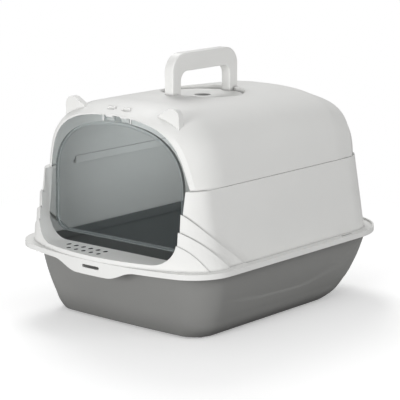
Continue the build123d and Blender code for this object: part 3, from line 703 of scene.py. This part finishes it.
class LITTERBOX_OT_tray(bpy.types.Operator):
    """Build the tray with its rim, upstand and side crease"""
    bl_idname = "litterbox.tray"
    bl_label = "Litter Tray"

    def execute(self, context):
        settings = context.scene.litterbox_tray
        # painted shade: within five centimetres of the floor, the skirt and other close surfaces the tray's colour
        # darkens, down to 0.6 of itself
        outside = moulded_plastic(
            "tray_plastic", settings.colour, settings.roughness,
            tone=0.02, grain=0.07, grain_size=1100.0, reach=0.05, depth=0.6)
        # the inside is grained and matt, and its darker colour is painted shade, as the hood keeps the light out of it
        inside = moulded_plastic(
            "tray_inside", settings.inside_shade_colour, roughness=0.75,
            tone=0.03, grain=0.2, grain_size=600.0, specular=0.15)
        points, faces, inner_start = tray_surface(settings.relief)
        piece = add_piece("litter_tray_shell", points, faces, "base", outside, 35)
        piece.data.materials.append(inside)
        for face in piece.data.polygons[inner_start:]:
            if face.center.z > UNDERSIDE_Z * MM:
                face.material_index = 1
        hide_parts("litter_tray")
        return {"FINISHED"}


class LITTERBOX_OT_feet(bpy.types.Operator):
    """Give the four feet their soft dark rubber"""
    bl_idname = "litterbox.feet"
    bl_label = "Feet"

    def execute(self, context):
        settings = context.scene.litterbox_tray
        rubber = moulded_plastic(
            "foot_rubber", settings.foot_colour, roughness=0.8,
            tone=0.1, grain=0.3, grain_size=700.0, specular=0.25)
        for node in ("foot_front_left", "foot_front_right", "foot_rear_left", "foot_rear_right"):
            dress(node, rubber)
        return {"FINISHED"}


class LITTERBOX_OT_hood(bpy.types.Operator):
    """Build the lower and the upper hood with smooth walls"""
    bl_idname = "litterbox.hood"
    bl_label = "Hood"

    def execute(self, context):
        settings = context.scene.litterbox_hood
        plastic = moulded_plastic(
            "hood_plastic", settings.colour, settings.roughness, tone=0.012, grain=settings.grain, specular=0.22)
        lower = smooth_copy("lower_hood_shell", "hood_lower", "hood", plastic, 22)
        # the walls of the drain holes lie in full shade
        hole_shade = moulded_plastic("drain_hole_shade", (14, 15, 15), roughness=0.9, tone=0.1, specular=0.05)
        give_faces(lower.data, hole_shade, in_sill_hole)
        upper = smooth_copy("upper_hood_shell", "hood_upper", "roof", plastic, 22)
        # the hooks behind the door's windows get a paler, glossier colour and no corner shade: a painted highlight,
        # where light comes through the windows
        hooks = moulded_plastic("hook_plastic", settings.hook_highlight_colour, roughness=0.25, tone=0.01, depth=1.0)
        give_faces(upper.data, hooks, in_hook_box)
        return {"FINISHED"}


class LITTERBOX_OT_handle(bpy.types.Operator):
    """Build the carry handle with its rounded edges"""
    bl_idname = "litterbox.handle"
    bl_label = "Carry Handle"

    def execute(self, context):
        settings = context.scene.litterbox_hood
        plastic = moulded_plastic(
            "handle_plastic", settings.colour, settings.roughness - 0.04, tone=0.015, grain=settings.grain)
        smooth_copy("carry_handle_bow", "carry_handle", "roof", plastic, 35)
        return {"FINISHED"}


class LITTERBOX_OT_door(bpy.types.Operator):
    """Give the swing door its tinted clear sheet, its pale rim and the clips of its rod"""
    bl_idname = "litterbox.door"
    bl_label = "Swing Door"

    def execute(self, context):
        settings = context.scene.litterbox_door
        acrylic = tinted_acrylic("door_acrylic", settings.colour, settings.roughness, settings.density)
        sheet = smooth_copy("swing_door_sheet", "swing_door", "door", acrylic, 30)
        for material in (
            tinted_acrylic("door_edge_dark", settings.dark_edge, roughness=0.12, density=0.75),
            # pale painted highlight on the inner edges and the tab's edges, where the rim catches the light
            tinted_acrylic("door_edge_pale", settings.pale_edge_highlight, roughness=0.2, density=0.7),
            tinted_acrylic("door_rim", settings.rim_colour, roughness=0.1, density=0.24),
        ):
            sheet.data.materials.append(material)
        middle = Vector((0.0, 0.0, DOOR_MIDDLE_Z * MM))
        for face in sheet.data.polygons:
            x, y, z = face.center
            if abs(face.normal.y) < EDGE_TURN:
                turned_in = face.normal.dot(Vector((x, 0.0, z)) - middle) < 0
                on_tab = abs(x) < DOOR_TAB_HALF * MM and z > DOOR_TAB_LOW_Z * MM
                face.material_index = 2 if turned_in or on_tab else 1
            elif y < DOOR_RIM_FRONT_Y * MM:
                face.material_index = 3
        points, faces = clip_surface()
        clips = moulded_plastic("clip_plastic", settings.clip_colour, roughness=0.3, tone=0.01, depth=1.0)
        add_piece("door_rod_clips", points, faces, "door", clips, 35)
        return {"FINISHED"}


class LITTERBOX_OT_filter(bpy.types.Operator):
    """Build the filter cover, and give the carbon filter and the grille their finish"""
    bl_idname = "litterbox.filter"
    bl_label = "Filter"

    def execute(self, context):
        settings = context.scene.litterbox_filter
        plastic = moulded_plastic("cover_plastic", settings.colour, roughness=0.34, tone=0.012, grain=0.05)
        smooth_copy("filter_cover_lid", "filter_cover", "filter", plastic, 30)
        dress("filter_grille", plastic)
        dress("carbon_filter", carbon_foam("carbon_foam", settings.foam_colour))
        return {"FINISHED"}


class LITTERBOX_OT_stage(bpy.types.Operator):
    """Build the pale floor, the soft lights and the camera"""
    bl_idname = "litterbox.stage"
    bl_label = "Stage"

    def execute(self, context):
        settings = context.scene.litterbox_stage
        lay_floor(settings.floor_lift)
        light_world(settings.ambient)
        aim = (0.0, 0.0, settings.aim_height)
        for name, place, size, power in LIGHTS:
            area_light(name, place, aim, size, getattr(settings, power))
        cabin = area_light("cabin_light", CABIN_PLACE, CABIN_AIM, CABIN_SIZE, settings.cabin_power)
        cabin.data.color = CABIN_COLOUR
        cabin.visible_glossy = False
        cabin.visible_transmission = False
        place_camera(settings.azimuth, settings.elevation, settings.distance, aim, settings.lens)
        context.scene.view_settings.view_transform = "Standard"
        return {"FINISHED"}


# ---------------------------------------------------------------- sidebar

class LITTERBOX_PT_sidebar(bpy.types.Panel):
    """Buttons and settings of the covered litter box"""
    bl_idname = "LITTERBOX_PT_sidebar"
    bl_label = "Covered Litter Box"
    bl_space_type = "VIEW_3D"
    bl_region_type = "UI"
    bl_category = "Litter Box"

    def draw(self, context):
        for operator, holder in BUTTONS:
            box = self.layout.box()
            box.operator(operator)
            settings = getattr(context.scene, holder)
            for name in settings.bl_rna.properties.keys():
                if name not in ("rna_type", "name"):
                    box.prop(settings, name)


BUTTONS = (
    ("litterbox.tray", "litterbox_tray"),
    ("litterbox.feet", "litterbox_tray"),
    ("litterbox.hood", "litterbox_hood"),
    ("litterbox.handle", "litterbox_hood"),
    ("litterbox.door", "litterbox_door"),
    ("litterbox.filter", "litterbox_filter"),
    ("litterbox.stage", "litterbox_stage"),
)
GROUPS = {
    "litterbox_tray": TraySettings,
    "litterbox_hood": HoodSettings,
    "litterbox_door": DoorSettings,
    "litterbox_filter": FilterSettings,
    "litterbox_stage": StageSettings,
}
CLASSES = (
    *GROUPS.values(),
    LITTERBOX_OT_tray,
    LITTERBOX_OT_feet,
    LITTERBOX_OT_hood,
    LITTERBOX_OT_handle,
    LITTERBOX_OT_door,
    LITTERBOX_OT_filter,
    LITTERBOX_OT_stage,
    LITTERBOX_PT_sidebar,
)


def register():
    """Registers the classes and hangs each group of settings on the scene."""
    for item in CLASSES:
        bpy.utils.register_class(item)
    for holder, group in GROUPS.items():
        setattr(bpy.types.Scene, holder, bpy.props.PointerProperty(type=group))


def unregister():
    """Takes the settings and the classes away again."""
    for holder in GROUPS:
        delattr(bpy.types.Scene, holder)
    for item in reversed(CLASSES):
        bpy.utils.unregister_class(item)


def main():
    """Registers the classes, then builds every piece and the stage."""
    register()
    bpy.ops.litterbox.tray()
    bpy.ops.litterbox.feet()
    bpy.ops.litterbox.hood()
    bpy.ops.litterbox.handle()
    bpy.ops.litterbox.door()
    bpy.ops.litterbox.filter()
    bpy.ops.litterbox.stage()


if __name__ == "__main__":
    main()
